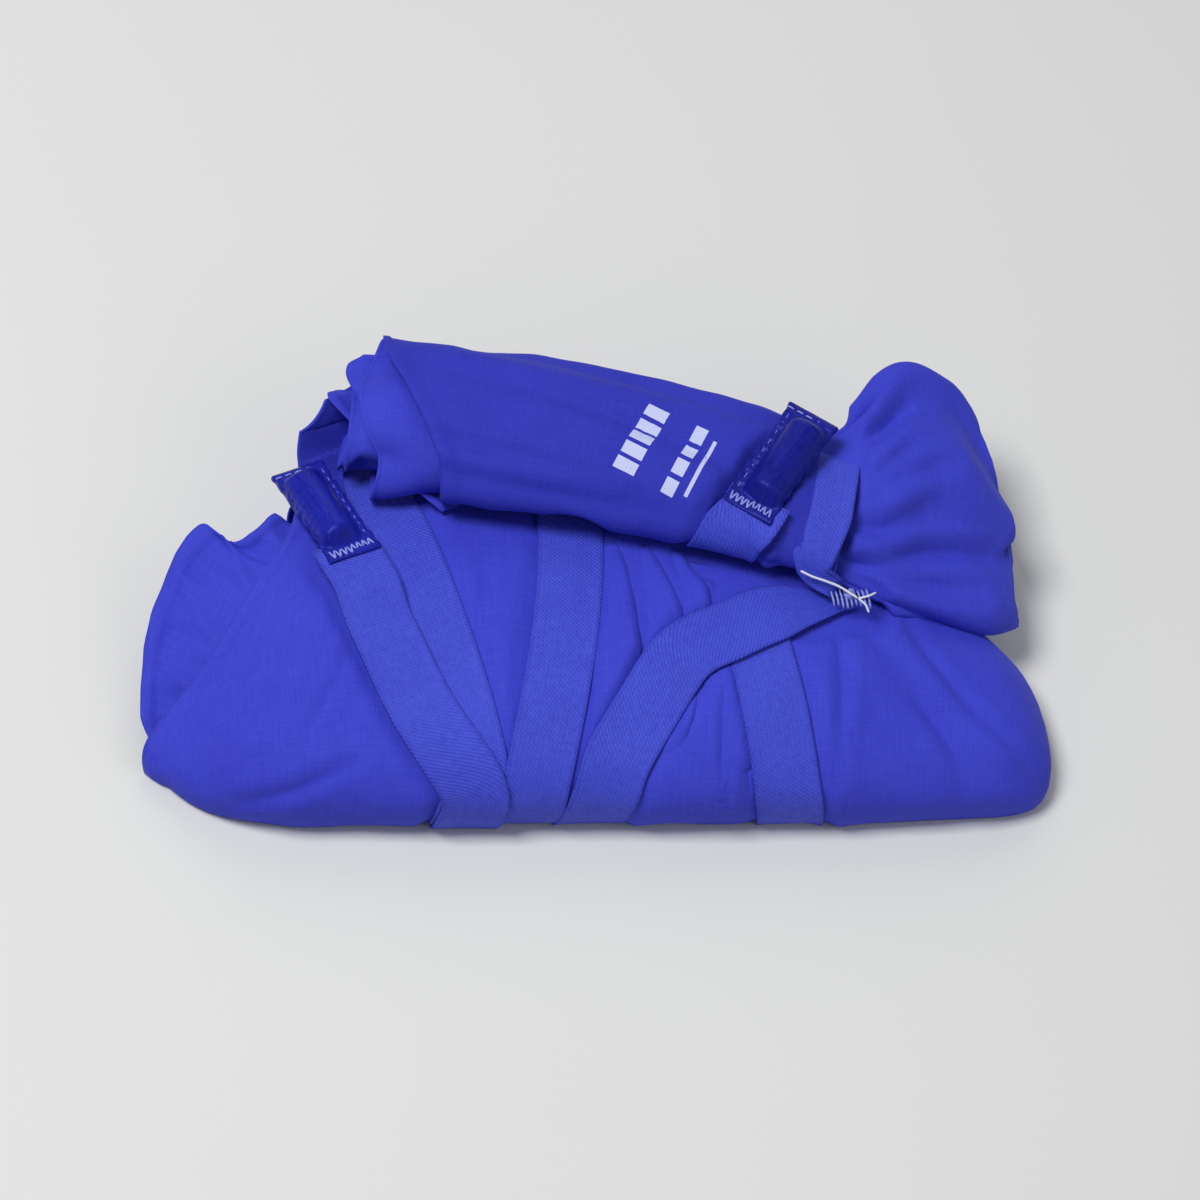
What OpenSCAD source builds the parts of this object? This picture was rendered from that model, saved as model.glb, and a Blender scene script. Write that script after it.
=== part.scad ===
// Pull-through cleaning swab of a saxophone: a thin cloth, folded up and bound with its own tape,
// and a satin-covered weight on each end of the tape.
// Frame: +X along the bundle, +Y to its back, +Z up, origin at the bottom centre of its box.

/* [Bundle] */
// Length of the folded cloth from end to end
bundle_l = 182; // [176:2:188]
// Depth of the folded pack from front edge to back edge
pack_d = 84; // [82:1:87]
// Height of the pack at its middle
pack_h = 25; // [24:0.5:26]
// Height of the roll of cloth that lies on the back of the pack
roll_h = 19; // [18:0.5:20]
// Width of the roll
roll_w = 35; // [33:1:37]

/* [Tape] */
// Width of the woven pull tape
tape_w = 13; // [11:0.5:14]
// Thickness of the pull tape
tape_t = 1; // [0.8:0.1:1.2]

/* [Weights] */
// Length of a weight with its satin sleeve
sleeve_l = 27; // [26:0.5:29]
// Width of the satin pressed flat round the weight
sleeve_w = 10.6; // [10:0.1:11.6]
// Outer diameter of the sleeve over its metal slug
sleeve_d = 8; // [7.6:0.1:8.4]
// Thickness of the satin
satin_t = 0.6; // [0.5:0.1:0.8]

/* [Stitching] */
// Thickness of the sewing thread
thread_t = 0.5; // [0.4:0.1:0.6]
// Length of one stitch
stitch_l = 2; // [1.6:0.1:2.4]

/* [Hidden] */
clear = 0.4;                    // gap between a weight and the cloth or tape beside it
half_l = bundle_l / 2;
front_y = -47.8;                 // front edge of the pack
steps = 32;                     // points round one section of cloth

// Sections of the folded pack: [place along X, front edge, back edge, height], the first as a
// share of the half length and the others as shares of the pack's depth and height.
pack_shape = [[-1, 0.22, 0.36, 0.2], [-0.88, 0.1, 0.47, 0.42], [-0.72, 0.03, 0.72, 0.82],
              [-0.55, 0.01, 0.96, 0.95], [-0.2, 0, 1, 1], [0.2, 0, 1, 1],
              [0.52, 0, 0.84, 0.92], [0.75, 0.02, 0.62, 0.76], [0.92, 0.05, 0.44, 0.54],
              [1, 0.1, 0.34, 0.26]];

// Sections of the roll from its open end to its gathered neck: [centre, share of the roll's
// width, share of its height].
roll_shape = [[[-61, 37, 22], 0.55, 0.65], [[-52, 34.5, 28], 0.88, 0.95], [[-40, 31, 32], 1, 1.05],
              [[-5, 25, 32.5], 1, 1], [[20, 18, 32], 1, 0.95], [[38, 12, 30], 0.95, 0.85],
              [[50, 0, 28], 0.4, 0.55]];
roll_turn = -16;                // heading of the roll from +X, in degrees

// Sections of the fan of cloth beyond the neck, in the same terms.
fan_shape = [[[47, -2, 28], 0.36, 0.5], [[56, 10, 30], 1, 0.6], [[66, 21, 29], 1.4, 0.7],
             [[76, 21, 23], 1.4, 0.75], [[84, 17, 16.5], 1.05, 0.4]];
fan_turn = 5;

// The corner of the under layer that curls up at the left end, and its thickness.
corner = [[-58, -2, 8], [-85, -20, 4], [-76, 14, 12], [-70, -6, 9]];
corner_t = 5;
hem_turn = 72;                  // where on the pack's sections the stitched hem runs

// Gathered pleats between the pack and the neck of the roll.
pleats = [[-4, 8, 20], [28, -4, 20], [46, -5, 22], [18, 14, 28], [44, 3, 27]];
pleats_r = 3.5;

// Hinge points where the tape lets each weight lift, with the weight's heading and slope.
weight_a_at = [-48.7, -0.6, 27];
weight_a_turn = 113;
weight_a_slope = -7;
weight_b_at = [28.6, 2.6, 37];
weight_b_turn = 54;
weight_b_slope = 10;
tape_gap = 1.2;                 // from a hinge point back to the end of the tape
tape_gap_t = 0.15;              // air between the tape and what it lies on

bulge_start = 4;                // where the slug's bulge begins in a sleeve
bulge_end = sleeve_l - 3;
slug_r = sleeve_d / 2 - satin_t - 0.1;
slug_l = bulge_end - bulge_start - 2 * satin_t - 0.2;
fin_shift = 0.8;                // the satin's side seam leaves a wider fin on one side

gather_at = [49, -10.2, 24.6];     // where the tape's middle is sewn to the gathered cloth
knot_r = 1.1;
tail_points = [gather_at + [1.2, -1.9, 3.1], gather_at + [-3, -1.4, 4.8], [38.5, -9.8, 30.2]];
tail_fork = [gather_at + [6, 1.6, 3.2], gather_at + [3.6, -3.9, 2.4]];

function unit(v) = v / norm(v);

// The pack's section at x, then a point on its skin: turn is 0 at the back edge, 90 on top,
// 180 at the front edge and 270 underneath, where the pack is flat.
function pack_at(x, n) = lookup(x / half_l, [for (s = pack_shape) [s[0], s[n]]]);
function pack_point(x, turn) =
    let (f = front_y + pack_d * pack_at(x, 1), b = front_y + pack_d * pack_at(x, 2),
         h = pack_h * pack_at(x, 3), side = h * 0.36, s = sin(turn))
    [x, (f + b) / 2 + (b - f) / 2 * cos(turn),
     s >= 0 ? side + (h - side) * pow(s, 0.85) : side * (1 + max(-1, 2.6 * s))];
function pack_normal(x, turn) =
    unit(cross(pack_point(x, turn + 2) - pack_point(x, turn - 2), [1, 0, 0]));

// A point on the skin of a roll of cloth; u runs from 0 to 1 along its sections.
function roll_at(shape, u, n) = lookup(u * (len(shape) - 1),
    [for (i = [0:len(shape) - 1]) [i, n < 3 ? shape[i][0][n] : shape[i][n - 2]]]);
function roll_point(shape, heading, u, turn) =
    let (w = roll_w / 2 * roll_at(shape, u, 3), h = roll_h / 2 * roll_at(shape, u, 4))
    [roll_at(shape, u, 0) - w * cos(turn) * sin(heading),
     roll_at(shape, u, 1) + w * cos(turn) * cos(heading),
     roll_at(shape, u, 2) + h * sin(turn)];
function roll_normal(turn, heading) =
    unit([-cos(turn) * sin(heading), cos(turn) * cos(heading), 1.8 * sin(turn)]);

// A closed skin through rings of points.
module skin(rings) {
    n = len(rings[0]);
    last = len(rings) - 1;
    polyhedron([for (r = rings) each r],
        concat([[for (j = [0:n - 1]) j]], [[for (j = [n - 1:-1:0]) last * n + j]],
            [for (i = [0:last - 1], j = [0:n - 1])
                each [[i * n + j, (i + 1) * n + j, (i + 1) * n + (j + 1) % n],
                      [i * n + j, (i + 1) * n + (j + 1) % n, i * n + (j + 1) % n]]]));
}

module roll_skin(shape, heading) {
    last = len(shape) - 1;
    skin([for (i = [0:last]) [for (k = [0:steps - 1])
        roll_point(shape, heading, i / last, 360 * k / steps)]]);
}

// Cross-sections, of width w and thickness t, of a flat ribbon along a route of [point, normal]
// pairs, out from just above the route.
function ribbon_rings(route, w, t, lift) = [for (i = [0:len(route) - 1])
    let (p = route[i][0], n = route[i][1],
         way = unit(route[min(i + 1, len(route) - 1)][0] - route[max(i - 1, 0)][0]),
         side = unit(cross(way, n)) * w / 2, low = p + n * lift, high = p + n * (lift + t))
    [low - side, high - side, high + side, low + side]];

module rod(a, b, r) hull() for (p = [a, b]) translate(p) sphere(r = r, $fn = 8);

// Places on the pack or the roll, [turn, place] pairs, with steps of at most 12 degrees or
// 6 mm between them.
function finer(p, long) = concat(
    [for (i = [0:len(p) - 2])
        let (n = ceil(max(abs(p[i + 1][0] - p[i][0]) / 12, abs(p[i + 1][1] - p[i][1]) / long)))
        for (k = [0:n - 1]) p[i] + (p[i + 1] - p[i]) * k / n],
    [p[len(p) - 1]]);
// Here a place on the pack has a third number, how many layers of tape lie below it, and none
// reaches below the surface that the bundle lies on.
function on_pack(p) = [for (q = finer(p, 6))
    let (n = pack_normal(q[1], q[0]),
         at = pack_point(q[1], q[0]) + n * (tape_gap_t + q[2] * (tape_t + tape_gap_t)))
    [[at[0], at[1], max(at[2], -n[2] * tape_t)], n]];
function on_roll(p) = [for (q = finer(p, 0.05))
    let (n = roll_normal(q[0], roll_turn))
    [roll_point(roll_shape, roll_turn, q[1], q[0]) + n * tape_gap_t, n]];

// The tape's end behind and just below a weight's hinge point, with the way it faces.
function tape_end(at, turn, facing) =
    [at - tape_gap * [cos(turn), sin(turn), 0] - [0, 0, tape_t + satin_t + clear], unit(facing)];

// The tape's first half starts at the gather, goes down the front of the pack, underneath and up
// the back, and over the neck of the roll back to the gather. There it folds over itself, and
// winds round the pack to the left, below the roll, until it folds back on itself underneath and
// comes up the front as the end that carries weight A.
neck_wrap = concat(on_pack([[98, 29, 0], [105, 30, 0], [170, 35, 0], [300, 42, 0], [366, 45, 0]]),
                   on_roll([[0, 0.91], [90, 0.92], [170, 0.935]]),
                   [[[44.5, -8.5, 26.2], unit([0, -0.5, 0.85])]]);
pack_wraps = on_pack([[88, 49, 1.6], [91, 38, 1.6], [100, 27, 1.6], [112, 17, 1.3], [120, 12, 0],
                      [128, 8, 0], [150, 1, 0], [168, -1, 0], [360, -5, 0], [434, -5, 0],
                      [528, -15, 0], [565, -15, 0], [720, -36, 0], [776, -42, 0], [797, -38, 0],
                      [888, -26.5, 0], [915, -28.5, 0]]);
end_a = concat([tape_end(weight_a_at, weight_a_turn, [0, 0, 1])],
               on_pack([[90, -47.5, 1.6], [150, -31.3, 1.6], [168, -26.5, 1], [195, -28.5, 1]]));
// The second half goes straight from the gather, in front of the roll, to weight B.
end_b = [[[24.6, -5.6, 28.4], unit([-0.4, -0.75, 0.6])], [[26.6, -1.5, 32], unit([-0.5, -0.7, 0.5])],
         tape_end(weight_b_at, weight_b_turn, [-0.6, -0.7, 0.4])];
strands = [neck_wrap, pack_wraps, end_a, end_b];

// The grooves that the strands press into the cloth.
module tape_grooves() for (route = strands)
    let (rings = ribbon_rings(route, tape_w + 0.2, 2.5 * tape_t, -tape_gap_t))
        for (i = [1:len(rings) - 1]) hull() skin([rings[i - 1], rings[i]]);

// The space that a weight needs in the cloth, open above and behind so that it can lift and
// fold back.
module weight_space() {
    across = sleeve_w + 2 * (fin_shift + clear);
    translate([-1, -across / 2, -satin_t - clear]) cube([sleeve_l + 2, across, 3 * sleeve_d]);
    translate([-7, -across / 2, -satin_t]) cube([7, across, 2 * sleeve_d]);
    translate([bulge_start - 1, 0, 0]) rotate([0, 90, 0])
        cylinder(r = sleeve_d / 2 + clear, h = bulge_end - bulge_start + 2, $fn = 32);
}

module at_weight_a() translate(weight_a_at) rotate([0, -weight_a_slope, weight_a_turn]) children();
module at_weight_b() translate(weight_b_at) rotate([0, -weight_b_slope, weight_b_turn]) children();

module swab_cloth() color("mediumblue") difference() {
    union() {
        skin([for (s = pack_shape)
            [for (k = [0:steps - 1]) pack_point(s[0] * half_l, 360 * k / steps)]]);
        roll_skin(roll_shape, roll_turn);
        roll_skin(fan_shape, fan_turn);
        hull() for (p = corner) translate(p) sphere(d = corner_t, $fn = 16);
        hull() for (p = pleats) translate(p) sphere(r = pleats_r, $fn = 16);
    }
    tape_grooves();
    at_weight_a() weight_space();
    at_weight_b() weight_space();
}

// A row of stitches along the hem of the left flap.
module hem_stitching() color("slateblue") for (x = [-63:-stitch_l * 1.4:-84]) {
    p = pack_point(x, hem_turn) + pack_normal(x, hem_turn) * thread_t;
    q = pack_point(x - stitch_l, hem_turn) + pack_normal(x - stitch_l, hem_turn) * thread_t;
    rod(p, q, thread_t / 2);
}

module pull_tape() color("royalblue") for (route = strands)
    skin([for (ring = ribbon_rings(route, tape_w, tape_t, 0))
        [for (p = ring) [p[0], p[1], max(p[2], 0)]]]);

// Short stitches across the tape's middle, drawn together in a knot.
module gather_stitching() color("lavender") {
    translate(gather_at + [0, 0, tape_t + knot_r + 0.3]) sphere(r = knot_r, $fn = 16);
    for (k = [-2:2]) rod(gather_at + [k * 1.6, -3.8 + k * 0.5, tape_t + 0.9],
                         gather_at + [k * 1.6 + 0.6, -2 + k * 0.5, tape_t + 1.1], thread_t / 2);
}

module thread_tail() color("white") {
    rod(tail_points[0], tail_points[1], thread_t / 2);
    rod(tail_points[1], tail_points[2], thread_t / 2);
    for (p = tail_fork) rod(tail_points[0], p, thread_t / 2);
}

// The parts of a weight lie along +X from its hinge point.
module sleeve() difference() {
    union() {
        translate([tape_gap / 2, fin_shift - sleeve_w / 2, -satin_t])
            cube([sleeve_l - tape_gap / 2, sleeve_w, 2 * satin_t]);
        translate([bulge_start, 0, 0]) rotate([0, 90, 0]) rotate_extrude($fn = 48)
            polygon([[0, 0], [sleeve_d * 0.3, 0], [sleeve_d / 2, 2.4],
                     [sleeve_d / 2, bulge_end - bulge_start - 2.4],
                     [sleeve_d * 0.3, bulge_end - bulge_start], [0, bulge_end - bulge_start]]);
    }
    translate([bulge_start + satin_t, 0, 0]) rotate([0, 90, 0]) rotate_extrude($fn = 48)
        slug_outline(slug_l + 0.2, slug_r + 0.1);
}

module slug_outline(l, r) polygon([[0, 0], [r * 0.55, 0], [r, 1.8], [r, l - 1.8],
                                   [r * 0.55, l], [0, l]]);

module slug() translate([bulge_start + satin_t + 0.1, 0, 0]) rotate([0, 90, 0])
    rotate_extrude($fn = 48) slug_outline(slug_l, slug_r);

module bar_tack() for (k = [-3:3]) translate([2.2, fin_shift + k * 1.3, satin_t])
    rotate(k % 2 == 0 ? 28 : -28) translate([-1.2, -thread_t / 2, 0])
        cube([2.4, thread_t, thread_t]);

module end_seam() for (k = [-1.5:1.5]) translate(
    [sleeve_l - 1.4, fin_shift + k * 1.35 * stitch_l - stitch_l / 2, satin_t])
        cube([thread_t, stitch_l, thread_t]);

module side_seam() for (k = [0:6]) translate(
    [bulge_start + 0.6 + k * 1.4 * stitch_l, fin_shift + sleeve_w / 2 - 1.1, satin_t])
        cube([stitch_l, thread_t, thread_t]);

module weight_a_sleeve() color("navy") at_weight_a() mirror([0, 1, 0]) sleeve();
module weight_a_slug() color("silver") at_weight_a() slug();
module weight_a_bar_tack() color("lightsteelblue") at_weight_a() mirror([0, 1, 0]) bar_tack();
module weight_a_end_seam() color("lightsteelblue") at_weight_a() mirror([0, 1, 0]) end_seam();
module weight_a_side_seam() color("slateblue") at_weight_a() mirror([0, 1, 0]) side_seam();
module weight_b_sleeve() color("navy") at_weight_b() sleeve();
module weight_b_slug() color("silver") at_weight_b() slug();
module weight_b_bar_tack() color("lightsteelblue") at_weight_b() bar_tack();
module weight_b_end_seam() color("lightsteelblue") at_weight_b() end_seam();
module weight_b_side_seam() color("slateblue") at_weight_b() side_seam();

swab_cloth();
hem_stitching();
pull_tape();
gather_stitching();
thread_tail();
weight_a_sleeve();
weight_a_slug();
weight_a_bar_tack();
weight_a_end_seam();
weight_a_side_seam();
weight_b_sleeve();
weight_b_slug();
weight_b_bar_tack();
weight_b_end_seam();
weight_b_side_seam();
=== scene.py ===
"""A saxophone's pull-through cleaning swab: one thin cotton cloth, folded into a pack and a roll,
bound with its own woven tape, and a satin-covered steel weight on each end of the tape."""
import functools
import math
import bpy
import numpy as np
from mathutils import Matrix, Vector


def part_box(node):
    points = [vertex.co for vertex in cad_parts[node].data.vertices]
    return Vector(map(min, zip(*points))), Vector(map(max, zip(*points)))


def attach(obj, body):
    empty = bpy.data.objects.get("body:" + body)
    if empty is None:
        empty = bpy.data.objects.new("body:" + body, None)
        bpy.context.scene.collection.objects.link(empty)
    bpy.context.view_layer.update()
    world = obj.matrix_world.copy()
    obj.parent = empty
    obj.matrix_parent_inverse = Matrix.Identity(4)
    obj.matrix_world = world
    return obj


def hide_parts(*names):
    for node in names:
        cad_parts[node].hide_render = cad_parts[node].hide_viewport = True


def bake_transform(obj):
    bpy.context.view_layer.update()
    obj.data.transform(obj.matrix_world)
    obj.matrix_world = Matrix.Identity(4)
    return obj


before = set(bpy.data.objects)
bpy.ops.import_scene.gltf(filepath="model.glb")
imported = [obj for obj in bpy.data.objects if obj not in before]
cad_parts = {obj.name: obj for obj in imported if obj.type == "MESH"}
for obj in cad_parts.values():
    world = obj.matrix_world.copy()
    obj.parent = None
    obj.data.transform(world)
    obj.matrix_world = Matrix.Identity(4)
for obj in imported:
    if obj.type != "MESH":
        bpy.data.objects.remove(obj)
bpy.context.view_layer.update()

MM = 0.001

# Shapes are worked out in millimetres, in the frame's own axes. The bundle's length and front
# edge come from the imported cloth, the rest from the design's own sizes.
cloth_low, cloth_high = [np.array(c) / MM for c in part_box("swab_cloth")]
half_l = (cloth_high[0] - cloth_low[0]) / 2
front_y = cloth_low[1]
PACK_D, PACK_H = 84, 25
ROLL_W, ROLL_H = 35, 19
TAPE_W, TAPE_T = 13, 0.8
CLOTH_T = 0.45
LOWEST = CLOTH_T + 0.1  # how low a sheet's outer face may come to the table
SUNK = -0.75            # how far the tape lies below the cloth's outline
SLEEVE_L, SLEEVE_W, SLEEVE_D, SATIN_T = 27, 10.6, 8, 0.3
FIN_SHIFT = {"a": -0.8, "b": 0.8}  # a sleeve's side seam leaves a wider fin on one side
BULGE_START, BULGE_END = 4, 24  # where a slug's bulge begins and ends in its sleeve

# Sections of the folded pack: place along X as a share of the half length, then front edge,
# back edge and height as shares of the pack's depth and height.
PACK = np.array([(-1, 0.22, 0.36, 0.2), (-0.88, 0.1, 0.47, 0.42), (-0.72, 0.03, 0.72, 0.82),
                 (-0.55, 0.01, 0.96, 0.95), (-0.2, 0, 1, 1), (0.2, 0, 1, 1), (0.52, 0, 0.84, 0.92),
                 (0.75, 0.02, 0.62, 0.76), (0.92, 0.05, 0.44, 0.54), (1, 0.1, 0.34, 0.26)])

# Sections of the roll from its open end to its neck, of the folds that stick out of its open
# end, and of the fan of cloth beyond the neck: centre, share of the roll's width, share of its
# height. Each has a heading from +X, and the fan also drops towards its front.
ROLL = np.array([(-61, 35, 24, 0.75, 0.85), (-52, 34, 29, 0.92, 0.98), (-40, 31, 32, 1, 1.05),
                 (-5, 25, 32.5, 1, 1), (20, 18, 32, 1, 0.95), (38, 13, 30.5, 0.97, 0.88),
                 (50, 7, 28.5, 0.8, 0.62)])
FOLDS = np.array([(-66, 33, 18, 0.34, 0.45), (-60, 34, 22, 0.6, 0.72), (-52, 34, 27, 0.8, 0.88),
                  (-42, 32, 30.5, 0.88, 0.92), (-24, 29, 31.5, 0.88, 0.9)])
FAN = np.array([(43, 9.5, 28.6, 0.74, 0.58), (55, 10.5, 29, 1.12, 0.62), (66, 17, 26, 1.46, 0.8),
                (76, 16, 22, 1.46, 0.8), (85, 14, 17, 1.1, 0.45)])
ROLL_TURN, FAN_TURN = -16, 5
FAN_DROP = 0.3

# How each weight lies: its heading from +X and its rise from level, in degrees, and the middle
# of its hinge. The gather is where the tape is sewn to the cloth.
HEADING = {"a": 113, "b": 54}
SLOPE = {"a": -7, "b": 10}
HINGE = {"a": np.array([-48.7, -0.6, 27]), "b": np.array([28.6, 2.6, 37])}
GATHER = np.array([49, -9.2, 26.2])

# Real threads of the cloth lie about 0.35 mm apart and the ribs of the tape about 0.6 mm. Both
# are too fine to show, so they are drawn this coarse, in mm.
WEAVE_PITCH, RIB_PITCH = 0.7, 0.9

# The first printed row's middle, in the print's own slanted axes, and that slant in degrees.
PRINT_X, PRINT_Y, PRINT_LEAN = 19.3, 38.6, -14

# What each piece of the cloth comes to when it is flat, in metres.
LOWER_FLAT, UPPER_FLAT = (0.3, 0.22), (0.3, 0.09)

# How thick each thread is drawn, in mm. Real ones are about half as thick, too fine to show.
THREAD_T = {"tack": 0.42, "end": 0.38, "side": 0.34, "hem": 0.34, "cast": 0.45, "knot": 0.5,
            "stray": 0.5, "fork": 0.45}

NEARLY_SHUT = 0.9995    # keeps a closed end from shrinking to one point


# ---------------------------------------------------------------------------------- view

def add_camera():
    """The viewer stands in front, to the left and well above, and X runs level in the view."""
    place = Vector((-129.5, -536.9, 745.6)) * MM
    aim = Vector((1, -3, 17)) * MM
    ahead = (aim - place).normalized()
    right = (Vector((1, 0, 0)) - ahead * ahead.x).normalized()
    turn = Matrix((right, right.cross(ahead), -ahead)).transposed()
    data = bpy.data.cameras.new("camera")
    data.lens = 138
    camera = bpy.data.objects.new("camera", data)
    bpy.context.scene.collection.objects.link(camera)
    camera.matrix_world = Matrix.Translation(place) @ turn.to_4x4()
    bpy.context.scene.camera = camera


def add_light(name, place, size, power):
    """A soft square lamp that faces the bundle."""
    data = bpy.data.lights.new(name, "AREA")
    data.size = size
    data.energy = power
    lamp = bpy.data.objects.new(name, data)
    bpy.context.scene.collection.objects.link(lamp)
    lamp.location = place
    lamp.rotation_euler = (-Vector(place)).to_track_quat("-Z", "Y").to_euler()


# ------------------------------------------------------------------------------ materials

def colour(code):
    """An sRGB hex value as the linear colour that Blender works in."""
    parts = [int(code[k:k + 2], 16) / 255 for k in (1, 3, 5)]
    return (*[c / 12.92 if c <= 0.04045 else ((c + 0.055) / 1.055) ** 2.4 for c in parts], 1)


def connect(node, inputs):
    """Gives a node its inputs, by place or by name. Each is a value, another node's output, or
    a node that stands for its first output."""
    for key, value in (inputs.items() if isinstance(inputs, dict) else enumerate(inputs)):
        if isinstance(value, bpy.types.Node):
            value = value.outputs[0]
        if isinstance(value, bpy.types.NodeSocket):
            node.id_data.links.new(value, node.inputs[key])
        else:
            node.inputs[key].default_value = value


def add_node(tree, kind, inputs=(), **settings):
    """Adds a node with its settings and inputs."""
    made = tree.nodes.new("ShaderNode" + kind)
    for name, value in settings.items():
        setattr(made, name, value)
    connect(made, inputs)
    return made


def new_material(name, fixed):
    """A material, the function that adds nodes to it, and its shader with its fixed values."""
    made = bpy.data.materials.new(name)
    made.use_nodes = True
    made.node_tree.nodes.clear()
    add = functools.partial(add_node, made.node_tree)
    shader = add("BsdfPrincipled", fixed)
    add("OutputMaterial", {"Surface": shader})
    return made, add, shader


def weighted(add, *terms):
    """The sum of patterns, each times its weight."""
    total = 0
    for pattern, weight in terms:
        total = add("Math", [pattern, weight, total], operation="MULTIPLY_ADD")
    return total


def wave(add, along, pitch):
    """A wave from -1 to 1 that comes round every `pitch` millimetres."""
    angle = add("Math", [along, 2 * math.pi / pitch], operation="MULTIPLY")
    return add("Math", [angle], operation="SINE")


def per_metre(size):
    """The scale of a pattern on a piece's own place, in metres, from its grain's size in mm."""
    return 1 / (size * MM)


def two_tone(add, pattern, low, high, shade, body):
    """From the shade to the body colour as a pattern goes from low to high."""
    share = add("MapRange", [pattern, low, high])
    return add("Mix", {0: share, 6: colour(shade), 7: colour(body)}, data_type="RGBA").outputs[2]


def cotton(name, body, shade, printed=False):
    """Dyed cotton cloth, plain weave: matt, with a faint grid of threads, slubs that run along
    them, a soft sheen at grazing angles, and dye that is a little paler on the ridges."""
    made, add, shader = new_material(name, {
        "IOR": 1.45, "Specular IOR Level": 0.25, "Sheen Weight": 0.12, "Sheen Roughness": 0.4,
        "Sheen Tint": colour("#8f98ff")})
    where = add("UVMap", uv_map="cloth_mm")
    place = add("TexCoord").outputs["Object"]
    along, across = add("SeparateXYZ", [where]).outputs[:2]
    weave = add("Math", [wave(add, along, WEAVE_PITCH), wave(add, across, WEAVE_PITCH)],
                operation="MULTIPLY")
    # Slubs are about 0.4 mm wide and 6 mm long, and run both ways.
    slubs = [add("TexNoise", {"Vector": add("Mapping", {"Vector": where, "Scale": scale}),
                              "Scale": 2.6, "Detail": 3})
             for scale in ((0.9, 0.06, 1), (0.06, 0.9, 1))]
    threads = add("Math", slubs, operation="ADD")
    patches = add("TexNoise", {"Vector": place, "Scale": per_metre(26.3), "Detail": 4})
    tone = weighted(add, (threads, 0.4), (patches, 0.4))
    tint = two_tone(add, tone, 0.35, 0.95, shade, body)
    if printed:
        tint = add_print(add, along, across, tint, threads)
    crumple = add("TexNoise", {"Vector": place, "Scale": per_metre(7.7), "Detail": 5,
                               "Distortion": 0.6})
    height = weighted(add, (weave, 0.05), (crumple, 0.9))
    connect(shader, {
        "Base Color": tint, "Roughness": add("MapRange", {0: threads, 3: 0.95, 4: 0.78}),
        "Normal": add("Bump", {"Height": height, "Strength": 0.35, "Distance": 0.6 * MM})})
    return made


def add_print(add, along, across, under, threads):
    """A generic printed motif of plain bars in white ink: a row of short broad ones, a row of
    narrower ones and a thin line, worn a little where the threads stand proud."""
    cos, sin = math.cos(math.radians(PRINT_LEAN)), math.sin(math.radians(PRINT_LEAN))
    x = weighted(add, (along, cos), (across, -sin))
    y = weighted(add, (along, sin), (across, cos))
    ink = 0
    # Each row: its middle, half its width and length, and the pitch of its bars, if any.
    for middle, half_x, half_y, pitch in ((0, 2.3, 9, 3.6), (9.5, 1.3, 9, 4.5), (13, 0.4, 7, 0)):
        in_x = add("Math", [x, PRINT_X + middle, half_x], operation="COMPARE")
        in_y = add("Math", [y, PRINT_Y, half_y], operation="COMPARE")
        row = add("Math", [in_x, in_y], operation="MULTIPLY")
        if pitch:
            up = add("Math", [y, PRINT_Y - half_y], operation="SUBTRACT")
            from_gap = add("Math", [up, pitch / 2], operation="PINGPONG")
            bar = add("Math", [from_gap, pitch * 0.13], operation="GREATER_THAN")
            row = add("Math", [row, bar], operation="MULTIPLY")
        ink = add("Math", [ink, row], operation="MAXIMUM")
    whole = add("Math", [threads, 0.72], operation="GREATER_THAN")
    ink = add("Math", [ink, whole], operation="MULTIPLY")
    return add("Mix", {0: ink, 6: under, 7: colour("#c2c9ee")}, data_type="RGBA").outputs[2]


def woven_tape(name):
    """Woven cotton tape, twill: fine diagonal ribs, a firm edge with its own cord, and a
    slightly paler, smoother face than the cloth."""
    made, add, shader = new_material(name, {
        "IOR": 1.5, "Specular IOR Level": 0.35, "Sheen Weight": 0.12, "Sheen Roughness": 0.4,
        "Sheen Tint": colour("#98a2ff")})
    where = add("UVMap", uv_map="cloth_mm")
    place = add("TexCoord").outputs["Object"]
    along, across = add("SeparateXYZ", [where]).outputs[:2]
    ribs = wave(add, weighted(add, (along, 1), (across, 0.9)), RIB_PITCH)
    weave = weighted(add, (ribs, 0.5), (wave(add, across, RIB_PITCH), 0.18))
    fuzz = add("TexNoise", {"Vector": place, "Scale": per_metre(1.11), "Detail": 3})
    patches = add("TexNoise", {"Vector": place, "Scale": per_metre(16.7), "Detail": 3})
    # The tape is darker along its edges, from 0.9 to 0.5 mm in from the edge outwards.
    edge = add("MapRange", [add("Math", [across], operation="ABSOLUTE"), TAPE_W / 2 - 0.9,
                            TAPE_W / 2 - 0.5])
    tone = weighted(add, (weave, 0.22), (fuzz, 0.5), (patches, 0.5), (edge, -0.18))
    height = weighted(add, (weave, 1), (fuzz, 0.5))
    connect(shader, {
        "Base Color": two_tone(add, tone, 0.1, 0.85, "#2f39b4", "#4653da"),
        "Roughness": add("MapRange", {0: fuzz, 3: 0.85, 4: 0.62}),
        "Normal": add("Bump", {"Height": height, "Strength": 0.5, "Distance": 0.25 * MM})})
    return made


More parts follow.
